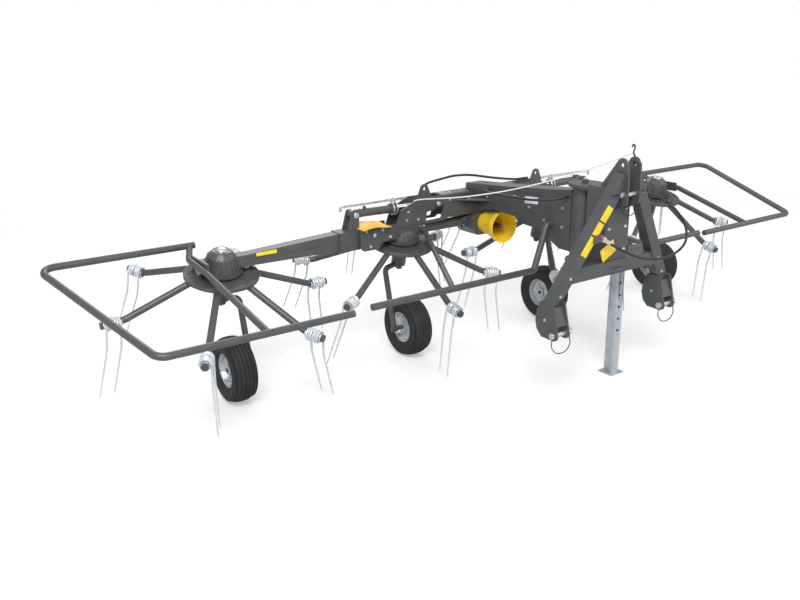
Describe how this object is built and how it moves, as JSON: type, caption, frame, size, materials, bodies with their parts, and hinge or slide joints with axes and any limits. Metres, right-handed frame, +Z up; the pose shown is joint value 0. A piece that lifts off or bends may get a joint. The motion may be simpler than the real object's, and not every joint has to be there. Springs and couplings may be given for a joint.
{
  "type": "rotary hay tedder",
  "caption": "Mounted rotary hay tedder with folding wings, sprung tine rotors on small ground wheels, a swivelling three-point hitch frame and a parking stand.",
  "frame": {"origin": "on the ground, under the middle of the machine's bounding box", "axes": "+X to the right of a viewer who looks at the hitch from the tractor, along the boom; -Y forward to the tractor; +Z up"},
  "size_m": [5.8412, 2.3269, 1.5292],
  "materials": {
    "frame_paint": "dark grey, half gloss",
    "rotor_paint": "dark grey, half gloss, with galvanised sprung tines",
    "tyre": "black rubber, ribbed",
    "galvanised": "galvanised steel",
    "yellow_plastic": "yellow moulded plastic",
    "orange_sheet": "orange-yellow flexible cover",
    "rod_chrome": "hard-chromed rod",
    "hose": "black rubber hose",
    "rope": "dark braided cord",
    "shaft_steel": "dark bare steel"
  },
  "bodies": {
    "main_frame": {"bridge_beam": "frame_paint", "neck": "frame_paint", "centre_gearbox": "frame_paint", "drive_tube_left": "frame_paint", "drive_tube_right": "frame_paint", "pto_guard": "yellow_plastic", "inner_housing_left": "frame_paint", "inner_housing_right": "frame_paint", "inner_guard_left": "frame_paint", "inner_guard_right": "frame_paint", "wheel_leg_inner_left": "frame_paint", "wheel_leg_inner_right": "frame_paint", "wing_hose": "hose", "neck_hose": "hose", "pull_rope": "rope"},
    "headstock": {"headstock_frame": "frame_paint", "hitch_pin_left": "galvanised", "hitch_pin_right": "galvanised", "top_link_pin": "galvanised", "supply_hose": "hose", "hose_coupler": "galvanised", "rope_hook": "galvanised", "pin_cord_left": "hose", "pin_cord_right": "hose", "pin_cord_top": "hose"},
    "stand": {"parking_stand": "galvanised"},
    "pto_shaft": {"pto_shaft": "shaft_steel"},
    "wing_left": {"wing_boom_left": "frame_paint", "outer_housing_left": "frame_paint", "outer_guard_left": "frame_paint", "wheel_leg_outer_left": "frame_paint", "joint_cover_left": "orange_sheet"},
    "fold_cylinder_left": {"fold_cylinder_left": "frame_paint", "lock_hook_left": "galvanised"},
    "fold_rod_left": {"fold_rod_left": "rod_chrome"},
    "wing_right": {"wing_boom_right": "frame_paint", "outer_housing_right": "frame_paint", "outer_guard_right": "frame_paint", "wheel_leg_outer_right": "frame_paint", "joint_cover_right": "orange_sheet"},
    "fold_cylinder_right": {"fold_cylinder_right": "frame_paint", "lock_hook_right": "galvanised"},
    "fold_rod_right": {"fold_rod_right": "rod_chrome"},
    "rotor_1": {"rotor_1": "rotor_paint"},
    "wheel_1": {"rim_1": "galvanised", "tyre_1": "tyre"},
    "rotor_2": {"rotor_2": "rotor_paint"},
    "wheel_2": {"rim_2": "galvanised", "tyre_2": "tyre"},
    "rotor_3": {"rotor_3": "rotor_paint"},
    "wheel_3": {"rim_3": "galvanised", "tyre_3": "tyre"},
    "rotor_4": {"rotor_4": "rotor_paint"},
    "wheel_4": {"rim_4": "galvanised", "tyre_4": "tyre"}
  },
  "joints": [
    {"name": "headstock_swivel", "type": "hinge", "parent": "main_frame", "child": "headstock", "pos_m": [0, -0.7772, 0.8], "axis": [0, 0, 1], "range_deg": [-15, 15]},
    {"name": "stand_slide", "type": "slide", "parent": "headstock", "child": "stand", "axis": [0, 0, 1], "range_m": [0, 0.35]},
    {"name": "pto_spin", "type": "hinge", "parent": "main_frame", "child": "pto_shaft", "pos_m": [0, 0.1478, 0.86], "axis": [0, -1, 0], "continuous": true},
    {"name": "wing_fold_left", "type": "hinge", "parent": "main_frame", "child": "wing_left", "pos_m": [-0.93, 0.25157, 0.9], "axis": [0, 1, 0], "range_deg": [-4, 90]},
    {"name": "cylinder_turn_left", "type": "hinge", "parent": "wing_left", "child": "fold_cylinder_left", "pos_m": [-1.04, 0.25157, 1.04], "axis": [0, 1, 0], "range_deg": [-95, 5]},
    {"name": "rod_slide_left", "type": "slide", "parent": "fold_cylinder_left", "child": "fold_rod_left", "axis": [0.9999, 0, -0.0156], "range_m": [-0.255, 0.014]},
    {"name": "wing_fold_right", "type": "hinge", "parent": "main_frame", "child": "wing_right", "pos_m": [0.93, 0.25157, 0.9], "axis": [0, -1, 0], "range_deg": [-4, 90]},
    {"name": "cylinder_turn_right", "type": "hinge", "parent": "wing_right", "child": "fold_cylinder_right", "pos_m": [1.04, 0.25157, 1.04], "axis": [0, -1, 0], "range_deg": [-95, 5]},
    {"name": "rod_slide_right", "type": "slide", "parent": "fold_cylinder_right", "child": "fold_rod_right", "axis": [-0.9999, 0, -0.0156], "range_m": [-0.255, 0.014]},
    {"name": "rotor_spin_1", "type": "hinge", "parent": "wing_left", "child": "rotor_1", "pos_m": [-1.95, 0.2678, 0.798], "axis": [0, -0.2164, 0.9763], "continuous": true},
    {"name": "wheel_spin_1", "type": "hinge", "parent": "wing_left", "child": "wheel_1", "pos_m": [-1.95, 0.1978, 0.205], "axis": [1, 0, 0], "continuous": true},
    {"name": "rotor_spin_2", "type": "hinge", "parent": "main_frame", "child": "rotor_2", "pos_m": [-0.65, 0.2678, 0.798], "axis": [0, -0.2164, 0.9763], "continuous": true},
    {"name": "wheel_spin_2", "type": "hinge", "parent": "main_frame", "child": "wheel_2", "pos_m": [-0.65, 0.1978, 0.205], "axis": [1, 0, 0], "continuous": true},
    {"name": "rotor_spin_3", "type": "hinge", "parent": "main_frame", "child": "rotor_3", "pos_m": [0.65, 0.2678, 0.798], "axis": [0, -0.2164, 0.9763], "continuous": true},
    {"name": "wheel_spin_3", "type": "hinge", "parent": "main_frame", "child": "wheel_3", "pos_m": [0.65, 0.1978, 0.205], "axis": [1, 0, 0], "continuous": true},
    {"name": "rotor_spin_4", "type": "hinge", "parent": "wing_right", "child": "rotor_4", "pos_m": [1.95, 0.2678, 0.798], "axis": [0, -0.2164, 0.9763], "continuous": true},
    {"name": "wheel_spin_4", "type": "hinge", "parent": "wing_right", "child": "wheel_4", "pos_m": [1.95, 0.1978, 0.205], "axis": [1, 0, 0], "continuous": true}
  ],
  "couplings": [
    {"joint": "cylinder_turn_left", "follows": "wing_fold_left", "ratio": -1.0426},
    {"joint": "rod_slide_left", "follows": "wing_fold_left", "m_per_rad": -0.15888},
    {"joint": "cylinder_turn_right", "follows": "wing_fold_right", "ratio": -1.0426},
    {"joint": "rod_slide_right", "follows": "wing_fold_right", "m_per_rad": -0.15888},
    {"joint": "rotor_spin_1", "follows": "rotor_spin_2", "ratio": -1},
    {"joint": "rotor_spin_3", "follows": "rotor_spin_2", "ratio": -1},
    {"joint": "rotor_spin_4", "follows": "rotor_spin_2", "ratio": 1},
    {"joint": "pto_spin", "follows": "rotor_spin_2", "ratio": 3.4}
  ]
}
